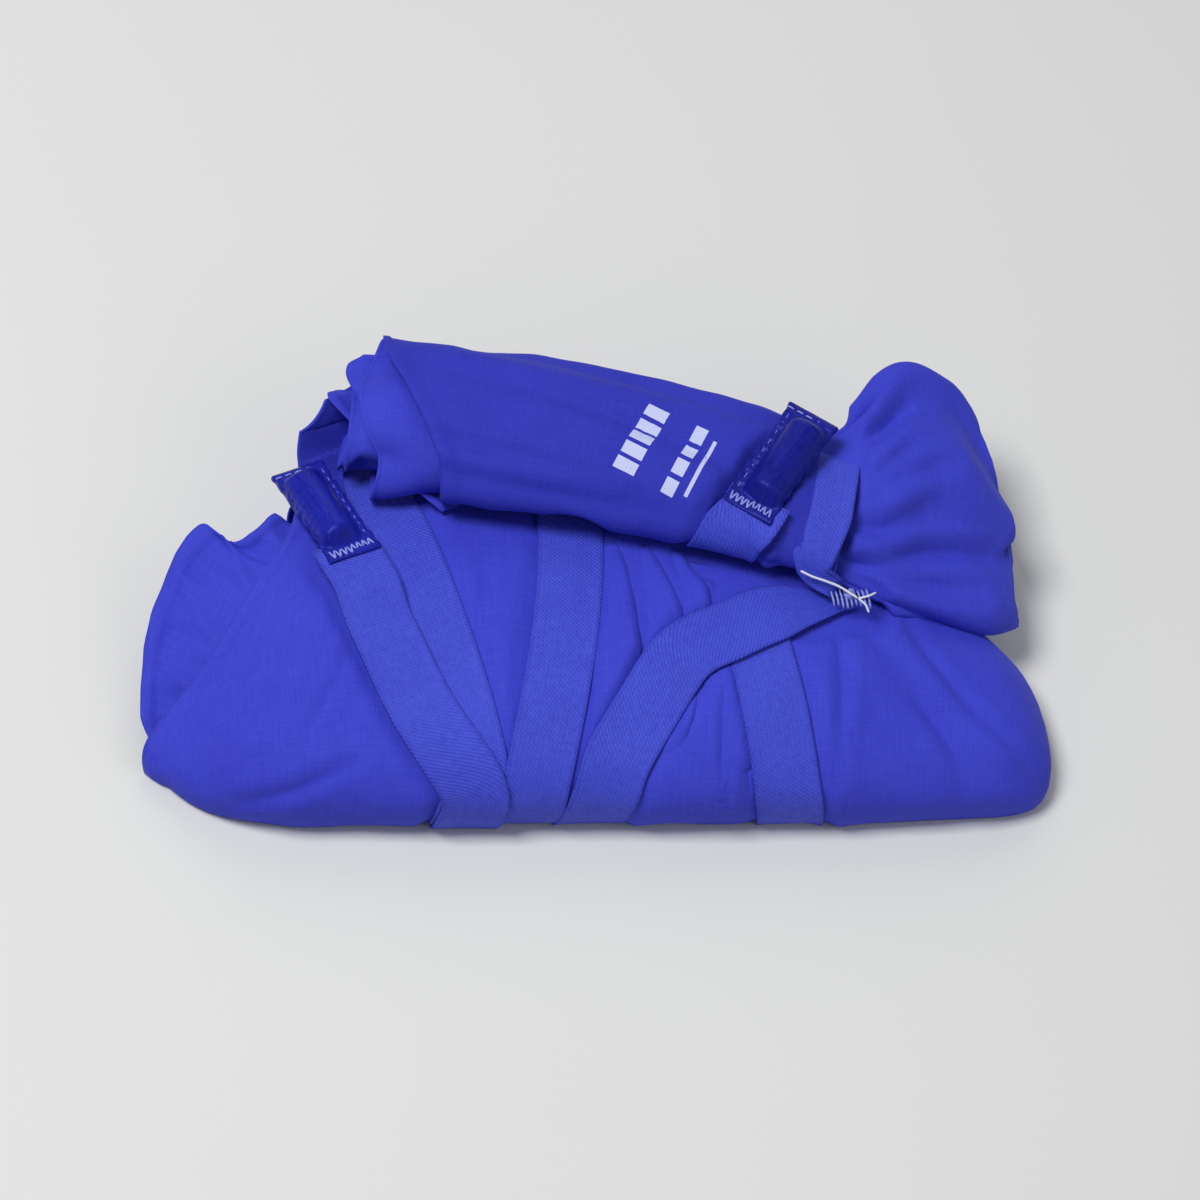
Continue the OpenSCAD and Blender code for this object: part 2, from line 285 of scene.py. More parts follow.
def satin(name, body, shade):
    """Polyester satin: long float threads give it a bright gloss over a deep, dark ground,
    and painted highlights streak its colour along the sleeve."""
    made, add, shader = new_material(name, {
        "IOR": 1.5, "Specular IOR Level": 0.42, "Specular Tint": colour("#8e9aff")})
    place = add("TexCoord").outputs["Object"]
    # Streaks are about 0.5 mm wide and 3 mm long: painted highlights in the colour.
    streaks = add("Mapping", {"Vector": add("UVMap", uv_map="cloth_mm"), "Scale": (0.22, 1.5, 1)})
    floats_and_painted_highlights = add("TexNoise", {"Vector": streaks, "Scale": 1.4, "Detail": 4})
    patches = add("TexNoise", {"Vector": place, "Scale": per_metre(6.25), "Detail": 3})
    # Painted highlights: the colour runs from the dark ground to the lighter body colour along the
    # streaks; in roughness and bumps they are the satin's own float threads.
    tone = weighted(add, (floats_and_painted_highlights, 0.7), (patches, 0.5))
    height = weighted(add, (floats_and_painted_highlights, 1), (patches, 1))
    connect(shader, {
        "Base Color": two_tone(add, tone, 0.3, 0.85, shade, body),
        "Roughness": add("MapRange", [floats_and_painted_highlights, 0.3, 0.7, 0.28, 0.46]),
        "Normal": add("Bump", {"Height": height, "Strength": 0.35, "Distance": 0.4 * MM})})
    return made


def thread(name, body, shade):
    """Spun polyester sewing thread: two plies wound round each other, with a dull gloss."""
    made, add, shader = new_material(name, {"Sheen Weight": 0.15})
    place = add("TexCoord").outputs["Object"]
    # At a scale of 1 the wave's bands come round 10 times in 2 pi metres; plies lie 1 mm apart.
    plies = add("TexWave", {"Vector": place, "Scale": per_metre(1.013) * 2 * math.pi / 10,
                            "Distortion": 1.5, "Detail": 1}, bands_direction="DIAGONAL")
    fuzz = add("TexNoise", {"Vector": place, "Scale": per_metre(0.417), "Detail": 2})
    tone = weighted(add, (plies.outputs[1], 0.6), (fuzz, 0.4))
    connect(shader, {
        "Base Color": two_tone(add, tone, 0, 1, shade, body),
        "Roughness": add("MapRange", {0: fuzz, 3: 0.7, 4: 0.45}),
        "Normal": add("Bump", {"Height": tone, "Strength": 0.6, "Distance": 0.1 * MM})})
    return made


def steel(name):
    """Turned mild steel: fine tool marks round the slug, under a thin dull oil film."""
    made, add, shader = new_material(name, {"Metallic": 1})
    place = add("TexCoord").outputs["Object"]
    marks = add("TexNoise", {"Vector": place, "Scale": per_metre(1.43), "Detail": 4})
    connect(shader, {
        "Base Color": two_tone(add, marks, 0, 1, "#8d8f93", "#b9bcc2"),
        "Roughness": add("MapRange", {0: marks, 3: 0.3, 4: 0.5}),
        "Normal": add("Bump", {"Height": marks, "Strength": 0.2, "Distance": 0.1 * MM})})
    return made


def table_top(name):
    """A pale matt table top with the faintest mottling."""
    made, add, shader = new_material(name, {"Roughness": 0.8})
    place = add("TexCoord").outputs["Object"]
    mottle = add("TexNoise", {"Vector": place, "Scale": per_metre(167), "Detail": 3})
    connect(shader, {"Base Color": two_tone(add, mottle, 0, 1, "#d9d9d6", "#dededc")})
    return made


# --------------------------------------------------------------------------------- shapes

def smooth(places, values, at):
    """A smooth curve through values at places, read at each of `at`."""
    places, values, at = (np.asarray(a, float) for a in (places, values, at))
    at = np.clip(at, places[0], places[-1])
    slope = np.gradient(values, places, axis=0)
    k = np.clip(np.searchsorted(places, at) - 1, 0, len(places) - 2)
    gap = places[k + 1] - places[k]
    t = (at - places[k]) / gap
    if values.ndim > 1:
        t, gap = t[..., None], gap[..., None]
    return (values[k] * (1 + 2 * t) * (1 - t) ** 2 + slope[k] * gap * t * (1 - t) ** 2
            + values[k + 1] * (3 - 2 * t) * t ** 2 - slope[k + 1] * gap * t ** 2 * (1 - t))


def ease(low, high, x):
    """0 below low, 1 above high, smooth between."""
    t = np.clip((x - low) / (high - low), 0, 1)
    return t * t * (3 - 2 * t)


def unit(v):
    """The same ways with a length of 1."""
    return v / np.maximum(np.linalg.norm(v, axis=-1, keepdims=True), 1e-9)


def ripple(points, size, seed):
    """Smooth noise from -1 to 1 that changes over about `size` millimetres."""
    lattice = np.random.default_rng(seed).uniform(-1, 1, (32, 32, 32))
    p = points / size + 100
    cell = np.floor(p).astype(int)
    t = p - cell
    t = t * t * (3 - 2 * t)
    total = 0
    for step in np.ndindex(2, 2, 2):
        share = np.prod(np.where(step, t, 1 - t), axis=-1)
        at = (cell + step) % 32
        total = total + share * lattice[at[..., 0], at[..., 1], at[..., 2]]
    return total


def normals(grid):
    """Which way each point of a grid of points faces."""
    return unit(np.cross(np.gradient(grid, axis=1), np.gradient(grid, axis=0)))


def pack_point(x, turn, size=1.0):
    """A point on the pack: turn is 0 at the back edge, 90 on top, 180 at the front edge and 270
    underneath, where the pack is flat. Inner layers have a smaller size."""
    share = smooth(PACK[:, 0] * half_l, PACK[:, 1:], x)
    front, back = front_y + PACK_D * share[..., 0], front_y + PACK_D * share[..., 1]
    height = PACK_H * share[..., 2]
    side, s = height * 0.36, np.sin(np.radians(turn))
    z = np.where(s >= 0, side + (height - side) * np.abs(s) ** 0.85,
                 side * (1 + np.maximum(-1, 2.6 * s)))
    y = (front + back) / 2 + (back - front) / 2 * np.cos(np.radians(turn)) * size
    return np.stack([x + 0 * y, y, side + (z - side) * size], axis=-1)


def pack_normal(x, turn):
    """Which way the pack faces there."""
    ahead = pack_point(x, turn + 2) - pack_point(x, turn - 2)
    return unit(np.cross(ahead, np.array([1.0, 0, 0])))


def roll_point(shape, heading, u, turn, size=1.0, drop=0.0):
    """A point on a roll of cloth: u runs from 0 to 1 along its sections, turn as on the pack."""
    section = smooth(np.linspace(0, 1, len(shape)), shape, u)
    wide = ROLL_W / 2 * section[..., 3] * np.cos(np.radians(turn)) * size
    high = ROLL_H / 2 * section[..., 4] * np.sin(np.radians(turn)) * size
    way = math.radians(heading)
    return np.stack([section[..., 0] - wide * math.sin(way),
                     section[..., 1] + wide * math.cos(way),
                     section[..., 2] + high + wide * drop], axis=-1)


def roll_normal(turn, heading):
    """Which way a roll faces there."""
    way, angle = math.radians(heading), np.radians(turn)
    return unit(np.stack([-np.cos(angle) * math.sin(way), np.cos(angle) * math.cos(way),
                          1.8 * np.sin(angle)], axis=-1))


def weight_axes(which):
    """The hinge point of a weight and its own three directions: along, across and up."""
    turn, slope = math.radians(HEADING[which]), math.radians(SLOPE[which])
    along = np.array([math.cos(turn) * math.cos(slope), math.sin(turn) * math.cos(slope),
                      math.sin(slope)])
    across = np.array([-math.sin(turn), math.cos(turn), 0])
    return HINGE[which], along, across, np.cross(along, across)


# ---------------------------------------------------------------------------- tape's route

def finer(stops, long):
    """Stops along a route with smaller steps between them."""
    stops = np.array(stops, float)
    length = np.concatenate([[0], np.cumsum(np.maximum(
        np.abs(np.diff(stops[:, 0])) / 6, np.abs(np.diff(stops[:, 1])) / long))])
    return smooth(length, stops, np.linspace(0, length[-1], int(length[-1]) + 2))


def on_pack(stops):
    """Stops of [turn, x, layers of tape below] as places and the way that they face."""
    fine = finer(stops, 3)
    facing = pack_normal(fine[:, 1], fine[:, 0])
    place = pack_point(fine[:, 1], fine[:, 0])
    place = place + facing * (SUNK + fine[:, 2:] * (TAPE_T + 0.1))
    place[:, 2] = np.maximum(place[:, 2], -facing[:, 2] * TAPE_T)
    return place, facing


def on_roll(stops):
    """The same for stops of [turn, u] on the roll."""
    fine = finer(stops, 0.03)
    facing = roll_normal(fine[:, 0], ROLL_TURN)
    return roll_point(ROLL, ROLL_TURN, fine[:, 1], fine[:, 0]) + facing * SUNK, facing


def joined(*parts):
    """One route from parts that are each (places, facings)."""
    places = np.concatenate([np.atleast_2d(p[0]) for p in parts])
    facings = unit(np.concatenate([np.atleast_2d(np.array(p[1], float)) for p in parts]))
    return places, facings


def even(route, step=1.6):
    """The same route with a stop every `step` millimetres, and its corners rounded."""
    places, facings = route
    length = np.concatenate([[0], np.cumsum(np.linalg.norm(np.diff(places, axis=0), axis=1))])
    at = np.linspace(0, length[-1], int(length[-1] / step) + 2)
    return smooth(length, places, at), unit(smooth(length, facings, at))


def hinge_stop(which, back, drop, facing):
    """A stop behind a weight's hinge point, below the sleeve's middle by drop."""
    at, along, _, up = weight_axes(which)
    return at - along * back - up * drop, facing


def tape_routes():
    """The four runs of tape that show: from weight A down the pack's front, round the pack to
    the gather, round the pack and the roll's neck, and from behind the roll to weight B."""
    up_a, up_b = weight_axes("a")[3], weight_axes("b")[3]
    end_a = joined(hinge_stop("a", -5, 0.4, up_a), hinge_stop("a", 1, 0.5, up_a),
                   hinge_stop("a", 5, 0.9, up_a),
                   on_pack([[102, -44, 1.3], [124, -38.5, 1.1], [168, -26.5, 1], [195, -27.5, 1],
                            [212, -28, 0.6]]))
    wraps = on_pack([[212, -28, 0], [195, -28, 0], [168, -26.5, 0], [77, -38, 0], [56, -42, 0],
                     [0, -36, 0], [-155, -15, 0], [-192, -15, 0], [-286, -5, 0], [-360, -5, 0],
                     [-552, -1, 0], [-570, 1, 0], [-592, 8, 0], [-606, 14, 0.5],
                     [-617, 25, 1], [-627, 36, 1.1], [-633, 44, 1], [-640, 50.5, 0.6]])
    neck = joined(on_pack([[92, 28, 0], [105, 30, 0], [170, 35, 0], [300, 42, 0], [366, 45, 0]]),
                  on_roll([[0, 0.91], [90, 0.92], [168, 0.935]]),
                  (np.array([46.5, -7.8, 26.4]), [0, -0.5, 0.85]))
    tail = joined(on_roll([[214, 0.73], [200, 0.735], [172, 0.745], [158, 0.75]]),
                  hinge_stop("b", 1, 0.5, up_b + np.array([-0.1, -0.25, 0])),
                  hinge_stop("b", -5, 0.4, up_b))
    return [even(r) for r in (end_a, wraps, neck, tail)]


# ---------------------------------------------------------------------------------- meshes

def add_mesh(name, points, faces, material):
    """A smooth-shaded piece from points in mm and the faces between them."""
    mesh = bpy.data.meshes.new(name)
    mesh.from_pydata((points.reshape(-1, 3) * MM).tolist(), [], faces)
    mesh.polygons.foreach_set("use_smooth", [True] * len(faces))
    mesh.materials.append(material)
    made = bpy.data.objects.new(name, mesh)
    bpy.context.scene.collection.objects.link(made)
    return made


def only(*pieces):
    """Selects these and nothing else."""
    bpy.ops.object.select_all(action="DESELECT")
    for piece in pieces:
        piece.select_set(True)
    bpy.context.view_layer.objects.active = pieces[0]


def sheet(name, grid, flat, material, thickness=CLOTH_T, face_out=True):
    """A sheet from a grid of points on its outer face, with its flat place in mm as its UV map.
    Its thickness goes inwards, and nothing of it comes below the table."""
    rows, columns = grid.shape[:2]
    index = np.arange(rows * columns).reshape(rows, columns)
    quads = np.stack([index[:-1, :-1], index[1:, :-1], index[1:, 1:], index[:-1, 1:]], axis=-1)
    quads = quads.reshape(-1, 4)
    if not face_out:
        quads = quads[:, ::-1]
    made = add_mesh(name, grid, quads.tolist(), material)
    layer = made.data.uv_layers.new(name="cloth_mm")
    layer.data.foreach_set("uv", flat.reshape(-1, 2)[quads.ravel()].ravel())
    solid = made.modifiers.new("thickness", "SOLIDIFY")
    solid.thickness = thickness * MM
    solid.offset = -1
    only(made)
    bpy.ops.object.modifier_apply(modifier=solid.name)
    for point in made.data.vertices:
        point.co.z = max(point.co.z, 0.05 * MM)
    return made


def join(name, pieces):
    """One piece from several."""
    only(*pieces)
    bpy.ops.object.join()
    pieces[0].name = name
    return pieces[0]


def stand_in(piece, body, node):
    """Says which body a piece rides on, which node of the design it replaces."""
    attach(piece, body)
    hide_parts(node)


def flat_place(grid, start=(0, 0)):
    """Where each point of a sheet lies when the sheet is flat: lengths along its two ways."""
    long = np.linalg.norm(np.diff(grid, axis=0), axis=2).mean(axis=1)
    wide = np.linalg.norm(np.diff(grid, axis=1), axis=2).mean(axis=0)
    along = start[0] + np.concatenate([[0], np.cumsum(long)])
    across = start[1] + np.concatenate([[0], np.cumsum(wide)])
    return np.stack(np.meshgrid(along, across, indexing="ij"), axis=-1)


# ----------------------------------------------------------------------------------- cloth

routes = tape_routes()
tape_middle = np.concatenate([r[0] for r in routes])


def from_tape(points):
    """How far each point is from the middle of the nearest tape."""
    flat = points.reshape(-1, 3)
    best = np.full(len(flat), np.inf)
    for part in np.array_split(tape_middle, max(1, len(tape_middle) // 40)):
        best = np.minimum(best, ((flat[:, None] - part) ** 2).sum(axis=2).min(axis=1))
    return np.sqrt(best).reshape(points.shape[:-1])


def creased(lift, grid, creases, point):
    """Adds soft grooves to a lift, each deepest in its middle and with a raised lip on each
    side. Their stops are [turn, place] on the surface that point gives."""
    for stops, width, depth in creases:
        turn, place = np.array(stops, float).T
        at = np.linspace(0, len(stops) - 1, 40)
        line = smooth(np.arange(len(stops)), point(place, turn), at)
        squared = ((grid.reshape(-1, 3)[:, None] - line) ** 2).sum(axis=2)
        away = np.sqrt(squared.min(axis=1)) / width
        along = squared.argmin(axis=1) / (len(at) - 1)
        fade = np.sin(np.clip(along, 0.04, 0.96) * np.pi) ** 0.5
        shape = -np.exp(-away ** 2) + 0.4 * np.exp(-((away - 2) / 0.9) ** 2)
        lift = lift + (shape * fade * depth).reshape(grid.shape[:-1])
    return lift


def pressed(grid, lift):
    """How far the cloth stands out from its outline: soft bulges and folds, pressed down where
    tape lies on it."""
    away = from_tape(grid)
    under = 1 - ease(6.4, 10, away)
    soft = 1.0 * ripple(grid, 24, 3) + 0.6 * ripple(grid, 11, 4) + 0.18 * ripple(grid, 5, 5)
    return (lift + soft) * (1 - under) + (SUNK - 0.3) * under


def clear_of_weights(grid):
    """Presses the cloth down where a weight lies on it, and slopes it up again beside it."""
    grid = grid.copy()
    for which in "ab":
        at, along, across, up = weight_axes(which)
        own = grid - at
        x, y, z = own @ along, own @ across, own @ up
        # The most that the cloth may rise is the sleeve's underside, or the slope away from it.
        room = 0.5
        half = SLEEVE_D / 2 + room
        aside = np.maximum(np.abs(y - FIN_SHIFT[which]) - SLEEVE_W / 2 - 0.6, 0)
        beyond = np.maximum(x - SLEEVE_L - room, 0) + np.maximum(-3.5 - x, 0)
        under = np.where(x > -room, np.sqrt(np.maximum(half ** 2 - y ** 2, 1.2)), 1.4)
        most = 2.2 * aside + 3 * beyond - under
        grid += up * (np.minimum(most - z, 0) * (1 - ease(6, 13, z)))[..., None]
    return grid


# Folds pressed in the pack: stops of [turn, x], then width and depth in mm.
PACK_CREASES = [
    ([(84, -1), (110, -5), (140, -8), (168, -9)], 1.0, 1.6),
    ([(84, 22), (112, 30), (140, 34), (170, 36)], 1.0, 1.4),
    ([(100, 29), (120, 24), (145, 22), (172, 22)], 0.9, 2.0),
    ([(80, -22), (110, -24), (140, -26)], 1.5, 0.9),
    ([(84, -30), (110, -30), (140, -29)], 1.3, 0.8),
    ([(95, 47), (120, 46), (160, 44)], 1.4, 1.2),
    ([(88, 52), (110, 60), (135, 70), (160, 80)], 2.4, 0.9),
    ([(100, 60), (125, 66), (160, 70)], 1.8, 0.7),
    ([(72, -52), (110, -66), (150, -78)], 1.8, 0.7),
    ([(150, -50), (165, -62), (175, -72)], 1.5, 0.9),
    ([(95, -48), (115, -52), (140, -60)], 1.2, 0.6),
    ([(70, 60), (92, 66), (120, 78), (150, 86)], 1.6, 0.7),
]


def pack_layers(material):
    """The folded pack: one sheet that starts under the back, goes over the top and down the
    front, and then winds on inside itself. Its hemmed left edge shows as a slanting flap."""
    turn = np.concatenate([np.linspace(-78, 262, 176), np.linspace(266, 640, 44)[1:]])
    along = np.linspace(0, 1, 136)
    left = smooth([-80, 0, 40, 50, 60, 70, 80, 100, 120, 180, 240, 290, 340, 400, 420, 440, 460,
                   540, 600, 640],
                  [-58, -58, -59, -62, -69, -76, -81, -85.5, -87.5, -88.5, -86, -78, -64, -56, -65,
                   -75, -80, -83, -79, -72], turn)
    size = 1 - 0.1 * ease(255, 330, turn) - 0.13 * ease(360, 640, turn)
    share, bend = np.meshgrid(along, turn, indexing="ij")
    # The right end is rounded over the last 4 mm, which takes up the last rows of the grid.
    nose, nose_at, end = 4, 0.97, half_l - 0.8
    x = left + (end - nose - left) * np.minimum(share / nose_at, 1)
    past = np.clip((share - nose_at) / 0.03, 0, 1) * np.pi / 2
    x = x + nose * np.sin(past)
    grid = pack_point(x, bend, size * np.cos(past * NEARLY_SHUT) ** 0.5)
    out = normals(grid)
    outer = 1 - ease(255, 300, bend)
    lift = 0.35 * np.ones(grid.shape[:-1])
    lift = pressed(grid, creased(lift, grid, PACK_CREASES, pack_point))
    hem_w, hem_h = 2.5, 0.75
    hem = 1 - ease(hem_w, hem_w + 0.5, x - left[None, :])
    lift = lift * outer * (1 - 0.8 * ease(nose_at, 1, share)) + hem_h * hem
    lift = lift * (1 - ease(190, 235, bend) * outer)
    grid = clear_of_weights(grid + out * lift[..., None])
    grid[..., 2] = np.maximum(grid[..., 2], CLOTH_T * (0.2 + (bend > 262)))
    flat = flat_place(grid)
    flat[..., 0] = x
    return sheet("pack", grid, flat, material), grid, left, turn


# Each pleat: its top and foot as [turn, x], its width, height and bow in mm.
PLEATS = [
    ((108, 32), (173, 27), 9, 2.6, 1),
    ((104, 26), (173, 17), 13, 3, 2),
    ((80, 20), (118, 29), 9, 3, 3),
    ((78, 14), (135, 22), 10, 3.4, 3),
    ((77, 8), (150, 11), 10, 3.6, 3),
    ((76, 2), (160, -3), 10, 3.8, 2),
]


def petals(material):
    """Pleats that spread from a pinch under the roll, each lying partly on the next."""
    made = []
    s, t = np.meshgrid(np.linspace(0, 1, 36), np.linspace(-1, 1, 18), indexing="ij")
    for top, foot, wide, high, bow in PLEATS:
        turn = top[0] + (foot[0] - top[0]) * s
        middle = top[1] + (foot[1] - top[1]) * s + bow * np.sin(s * np.pi)
        half = wide / 2 * np.sin(np.clip(0.12 + s * 0.8, 0, 1) * np.pi) ** 0.6
        x = middle + half * t
        grid = pack_point(x, turn)
        out = pack_normal(x, turn)
        # Each pleat leans, so that its far side lies on the next, and its sides tuck in.
        rise = high * (0.62 + 0.38 * t) * (1 - np.abs(t) ** 5)
        rise = rise * np.sin(np.clip(0.08 + s * 0.9, 0, 1) * np.pi) ** 0.5
        rise = rise - 1.3 + 0.3 * ripple(grid, 7, 9)
        away = from_tape(grid)
        rise = np.minimum(rise, SUNK - 0.3 + 4 * ease(6.2, 9, away))
        grid = grid + out * rise[..., None]
        flat = flat_place(grid, (300, 40 if made else 0))
        made.append(sheet("petal", grid, flat, material, face_out=False))
    return made


def draped(edge, hidden, out, pleats, curl, flat_at, material):
    """A sheet from its free, hemmed edge to a line that lies hidden under other cloth. Its
    pleats run inwards from the edge: each is (height, how many, slant)."""
    share, inward = np.meshgrid(np.linspace(0, 1, 72), np.linspace(0, 1, 28), indexing="ij")
    free = smooth(np.linspace(0, 1, len(edge)), edge, share)
    covered = smooth(np.linspace(0, 1, len(hidden)), hidden, share)
    grid = free + (covered - free) * inward[..., None]
    lift = 0.6 * ripple(grid, 8, 12) + curl * np.exp(-((inward - 0.04) / 0.22) ** 2)
    for height, count, slant in pleats:
        furrow = np.abs(np.sin(np.pi * count * share + slant * inward + 0.4)) ** 0.75
        lift = lift + height * (0.5 - furrow) * np.sin(inward * 2.4 + 0.5)
    lift = lift + CLOTH_T * (1 - ease(0.16, 0.2, inward))
    grid = grid + lift[..., None] * unit(np.array(out, float))
    grid[..., 2] = np.maximum(grid[..., 2], LOWEST)
    return sheet("draped", grid, flat_place(grid, flat_at), material, face_out=False)


def corner(material):
    """The under layer's corner at the left end, which sticks out below the flap and curls up
    behind it."""
    return draped([(-85, -31, 1), (-89, -23, 3), (-88.5, -10, 6), (-85, 4, 9.5),
                   (-77.5, 16.5, 14.5), (-70.5, 12.5, 14), (-62, 19, 15)],
                  [(-77, -31, 3), (-77, -21, 9.5), (-72, -9, 14), (-64, 3, 17.5), (-54, 12, 18)],
                  (-0.35, -0.1, 0.93), [(1.6, 5, 2.2), (0.7, 11, -2)], 1.6, (0, 300), material)


def under_layer(material):
    """The lowest fold at the left end, which lies on the table below the corner."""
    return draped([(-84, -30, 1), (-87, -20, 1.2), (-86, -8, 2), (-81, 4, 3), (-74, 12, 3.5),
                   (-66, 17, 3.8), (-57, 21, 3.5)],
                  [(-68, -30, 1), (-70, -20, 2.5), (-66, -8, 3), (-60, 0, 3.5), (-50, 9, 3)],
                  (0, 0, 1), [(1.4, 4, 1.5), (0.6, 9, -1)], 0.6, (0, 400), material)


def mouth(material):
    """The layers that stick out of the roll's open end, each shorter than the one below: two
    pleated ones, a hemmed edge that slants across, and the hollow fold behind it."""
    second = draped([(-36, 46, 27), (-43, 45, 33), (-48.5, 40.5, 35.5), (-47, 33, 35.5),
                     (-43, 26, 34.5), (-39, 20.5, 32.5), (-36, 17, 29)],
                    [(-20, 44, 30), (-22, 42, 36), (-23, 37, 38.5), (-23, 31, 39.5), (-22, 26, 39),
                     (-21, 20, 36), (-20, 17, 32)],
                    (-0.1, -0.3, 0.95), [(3.4, 4, 0.6), (0.8, 9, 1)], 0.4, (0, 700), material)
    hem = draped([(-50, 40, 28), (-52, 35, 32.5), (-47, 28.5, 31.5), (-41, 22, 29.5),
                  (-35, 16.5, 26.5), (-30, 13, 24)],
                 [(-40, 42, 27), (-42, 38, 31), (-38, 31, 31), (-33, 25, 29.5), (-28, 20, 27),
                  (-23, 17, 25)],
                 (-0.2, -0.4, 0.9), [(0.8, 4, 1)], 0.8, (0, 800), material)
    hollow = draped([(-46, 41, 30), (-52, 35.5, 32), (-56.5, 32, 28.5), (-58.5, 29.5, 23.5),
                     (-56, 26, 18), (-51, 23, 15)],
                    [(-38, 40, 28), (-42, 38, 27), (-44, 36, 24), (-45, 33, 20), (-44, 29, 16),
                     (-42, 24, 14)],
                    (-0.7, 0.1, 0.7), [(2.4, 4, 1.4)], -0.4, (0, 900), material)
    return [second, hem, hollow]


# Folds in the roll's skin: stops of [turn, u], then width and depth in mm.
ROLL_CREASES = [
    ([(66, 0.36), (84, 0.5), (100, 0.7), (112, 0.84)], 2.4, 1.2),
    ([(150, 0.34), (158, 0.48), (150, 0.66)], 2.4, 1.0),
    ([(118, 0.32), (128, 0.42), (134, 0.56)], 1.8, 1.0),
    ([(30, 0.4), (50, 0.6), (60, 0.8)], 2.2, 0.8),
    ([(130, 0.74), (140, 0.84), (150, 0.9)], 1.4, 1.0),
]


def roll_layers(material):
    """The roll on the pack's back. Its left edge shows as an open mouth, and it is drawn into
    pleats where the tape ties its neck."""
    turn = np.linspace(-75, 330, 170)
    along = np.linspace(0, 1, 120)
    share, bend = np.meshgrid(along, turn, indexing="ij")
    start = smooth([-75, 0, 50, 85, 115, 140, 180, 230, 330],
                   [0.27, 0.28, 0.298, 0.345, 0.375, 0.395, 0.404, 0.4, 0.38], turn)
    u = start + (1 - start) * share
    open_end = 1 - ease(0, 0.25, u - start)
    size = (1 - 0.12 * ease(255, 330, bend)) * (1 + open_end * 0.05 * np.sin(
        np.radians(bend) * 2.6 + 0.5))
    neck = ease(0.7, 0.93, u)
    grid = roll_point(ROLL, ROLL_TURN, u, bend, size)
    out = normals(grid)
    gathers = np.sin(np.radians(bend) * 13 + 2.5 * ripple(grid, 12, 21))
    lift = 0.2 + 1.1 * gathers * neck
    lift = creased(lift, grid, ROLL_CREASES, functools.partial(roll_point, ROLL, ROLL_TURN))
    lift = pressed(grid, lift) * (1 - ease(250, 330, bend) * 0.6)
    hem_h = 0.4
    lift = lift + hem_h * (1 - ease(0.02, 0.026, share))
    grid = clear_of_weights(grid + out * lift[..., None])
    flat = flat_place(grid)
    # Its length is read along X, which the roll crosses at about 0.28 radians.
    flat[..., 0] = smooth(np.linspace(0, 1, len(ROLL)), ROLL[:, 0], u) / math.cos(0.28)
    return sheet("roll", grid, flat, material)


def mouth_folds(material):
    """The folds further inside the roll's open end, one wound inside the other."""
    turn = np.linspace(-40, 860, 130)
    along = np.linspace(0, 1, 46)
    share, bend = np.meshgrid(along, turn, indexing="ij")
    start = smooth([-40, 40, 90, 150, 260, 400, 500, 620, 740, 860],
                   [0.7, 0.68, 0.66, 0.78, 0.74, 0.6, 0.66, 0.6, 0.66, 0.7], turn)
    u = start + (1 - start) * share
    size = 1 - 0.24 * ease(250, 420, bend) - 0.26 * ease(520, 780, bend)
    flare = 1 - ease(0.1, 0.75, share)
    pleat = 1 + flare * 0.17 * np.sin(np.radians(bend) * 3.7 + 0.8)
    grid = roll_point(FOLDS, ROLL_TURN, u, bend, size * pleat)
    out = normals(grid)
    lift = 0.7 * ripple(grid, 10, 51) + 0.4 * (1 - ease(0.035, 0.045, share))
    grid = clear_of_weights(grid + out * lift[..., None])
    return sheet("folds", grid, flat_place(grid, (0, 900)), material)


# Folds in the fan: stops of [turn, u], then width and depth in mm.
FAN_CREASES = [
    ([(150, 0.08), (128, 0.4), (122, 0.7), (120, 0.9)], 2.0, 1.8),
    ([(166, 0.1), (150, 0.4), (144, 0.72)], 1.8, 1.2),
    ([(110, 0.1), (92, 0.4), (84, 0.66)], 1.8, 1.2),
    ([(84, 0.08), (64, 0.3), (56, 0.5)], 1.4, 1.0),
]


def fan(material):
    """The cloth beyond the tied neck: tight gathers at the tie that open into soft folds, and a
    wavy folded edge."""
    turn = np.linspace(-95, 262, 150)
    along = np.linspace(0, 1, 80)
    u, bend = np.meshgrid(along, turn, indexing="ij")
    edge = 1 - 0.05 * np.sin(np.radians(bend) * 3 + 0.6) - 0.03 * np.sin(np.radians(bend) * 7)
    nose_at = 0.93
    past = np.clip((u - nose_at) / 0.07, 0, 1) * np.pi / 2
    place = np.minimum(u / nose_at, 1) * edge * 0.95 + 0.05 * np.sin(past) * edge
    grid = roll_point(FAN, FAN_TURN, place, bend, np.cos(past * NEARLY_SHUT) ** 0.6, FAN_DROP)
    out = normals(grid)
    gathers = np.sin(np.radians(bend) * 12 + 1.5 * ripple(grid, 14, 31))
    folds = np.sin(np.radians(bend) * 5 + 1.8 * ripple(grid, 22, 32) + 1)
    lift = 1.3 * gathers * ease(0, 0.08, u) * (1 - ease(0.2, 0.65, u))
    lift = lift + 1.4 * folds * ease(0.15, 0.5, u) * (1 - 0.5 * ease(0.8, 1, u))
    lift = lift + 1.0 * ripple(grid, 14, 33) + 0.3 * ripple(grid, 6, 34)
    lift = creased(lift, grid, FAN_CREASES,
                   functools.partial(roll_point, FAN, FAN_TURN, drop=FAN_DROP))
    away = from_tape(grid)
    lift = np.minimum(lift, -1.2 + 5 * ease(5.5, 13, away))
    grid = grid + out * lift[..., None]
    grid[..., 2] = np.maximum(grid[..., 2], LOWEST)
    return sheet("fan", grid, flat_place(grid, (0, 600)), material)


